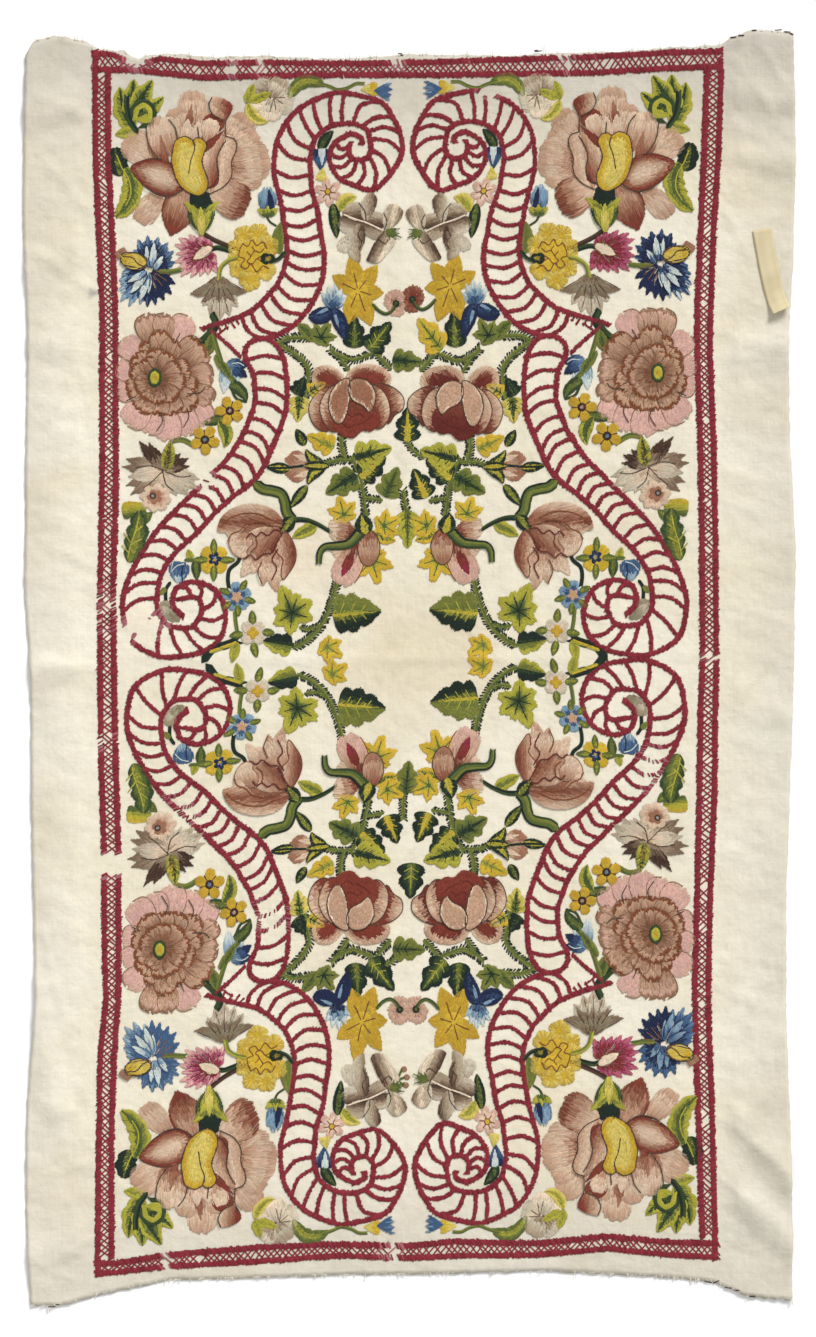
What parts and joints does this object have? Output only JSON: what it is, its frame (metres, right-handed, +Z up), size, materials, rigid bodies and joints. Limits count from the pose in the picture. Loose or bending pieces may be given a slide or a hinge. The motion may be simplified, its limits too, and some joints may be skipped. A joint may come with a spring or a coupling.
{
  "type": "crewel embroidery panel",
  "caption": "Flat unlined linen panel worked in wool with a lattice border, ribbed scrolls, flowers and leafy stems.",
  "frame": {"origin": "on the surface, under the middle of the sheet", "axes": "+X to the panel's right, +Y towards its top edge, +Z up through the cloth from its back to its worked face"},
  "size_m": [0.772, 1.2752, 0.0091],
  "materials": {
    "linen": "plain-woven natural linen, matt",
    "crimson_wool": "two-ply crewel wool, matt, slightly fuzzy",
    "coloured_wool": "crewel wools in shaded rose, yellow, green, blue and grey, matt",
    "tape": "narrow woven cotton tape, yellowed"
  },
  "bodies": {
    "root": {"linen_ground": "linen", "label_tape": "tape", "border_top": "crimson_wool", "border_bottom": "crimson_wool", "border_left_upper": "crimson_wool", "border_left_lower": "crimson_wool", "border_right": "crimson_wool", "scroll_upper_upper_left": "crimson_wool", "scroll_lower_upper_left": "crimson_wool", "peony_upper_left": "coloured_wool", "cornflower_upper_left": "coloured_wool", "thistle_upper_left": "coloured_wool", "marigold_upper_left": "coloured_wool", "lily_upper_left": "coloured_wool", "star_flower_upper_left": "coloured_wool", "chrysanthemum_upper_left": "coloured_wool", "rose_upper_left": "coloured_wool", "tulip_upper_left": "coloured_wool", "rosebud_upper_left": "coloured_wool", "mallow_upper_left": "coloured_wool", "scroll_upper_upper_right": "crimson_wool", "scroll_lower_upper_right": "crimson_wool", "peony_upper_right": "coloured_wool", "cornflower_upper_right": "coloured_wool", "thistle_upper_right": "coloured_wool", "marigold_upper_right": "coloured_wool", "lily_upper_right": "coloured_wool", "star_flower_upper_right": "coloured_wool", "chrysanthemum_upper_right": "coloured_wool", "rose_upper_right": "coloured_wool", "tulip_upper_right": "coloured_wool", "rosebud_upper_right": "coloured_wool", "mallow_upper_right": "coloured_wool", "scroll_upper_lower_left": "crimson_wool", "scroll_lower_lower_left": "crimson_wool", "peony_lower_left": "coloured_wool", "cornflower_lower_left": "coloured_wool", "thistle_lower_left": "coloured_wool", "marigold_lower_left": "coloured_wool", "lily_lower_left": "coloured_wool", "star_flower_lower_left": "coloured_wool", "chrysanthemum_lower_left": "coloured_wool", "rose_lower_left": "coloured_wool", "tulip_lower_left": "coloured_wool", "rosebud_lower_left": "coloured_wool", "mallow_lower_left": "coloured_wool", "scroll_upper_lower_right": "crimson_wool", "scroll_lower_lower_right": "crimson_wool", "peony_lower_right": "coloured_wool", "cornflower_lower_right": "coloured_wool", "thistle_lower_right": "coloured_wool", "marigold_lower_right": "coloured_wool", "lily_lower_right": "coloured_wool", "star_flower_lower_right": "coloured_wool", "chrysanthemum_lower_right": "coloured_wool", "rose_lower_right": "coloured_wool", "tulip_lower_right": "coloured_wool", "rosebud_lower_right": "coloured_wool", "mallow_lower_right": "coloured_wool"}
  },
  "joints": []
}
